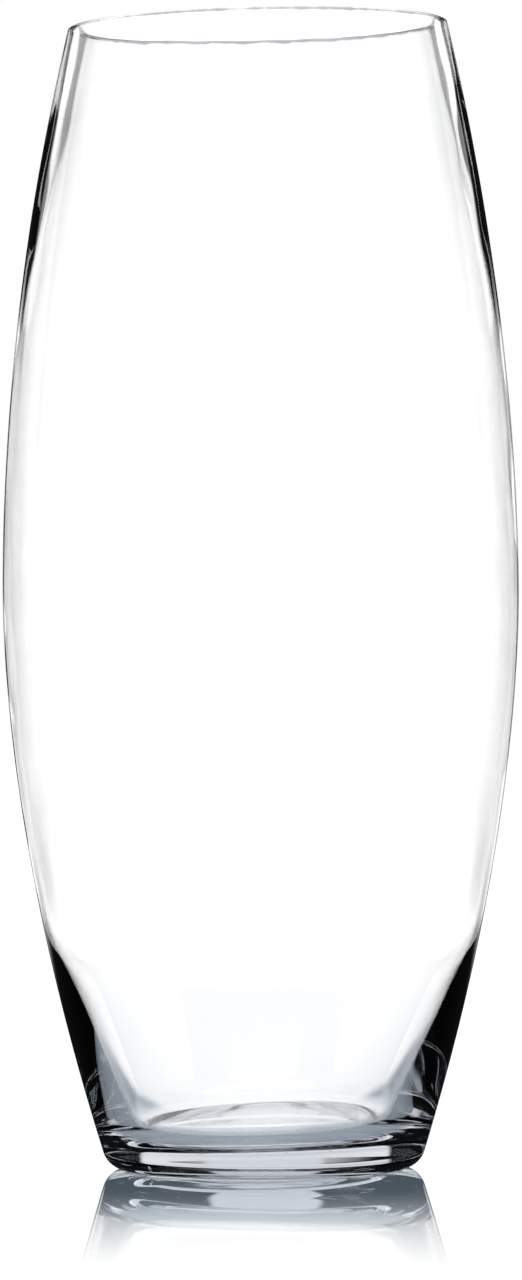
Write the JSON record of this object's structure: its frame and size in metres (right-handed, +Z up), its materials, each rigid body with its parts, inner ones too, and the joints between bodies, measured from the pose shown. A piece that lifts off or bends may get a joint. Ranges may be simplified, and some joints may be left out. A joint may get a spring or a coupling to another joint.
{
  "type": "flower vase",
  "caption": "Tall barrel-shaped flower vase in clear glass, with a thick solid base, a rounded heel and an open fire-polished rim.",
  "frame": {"origin": "centre of the ring that the vase stands on, at the level of the standing surface", "axes": "+Z up along the vase's axis of revolution; X and Y lie in the standing surface and are interchangeable"},
  "size_m": [0.16, 0.16, 0.355],
  "materials": {
    "clear_glass": "clear, smooth, fire-polished, faint cool tint in thick sections"
  },
  "bodies": {
    "root": {"glass_vessel": "clear_glass"}
  },
  "joints": []
}
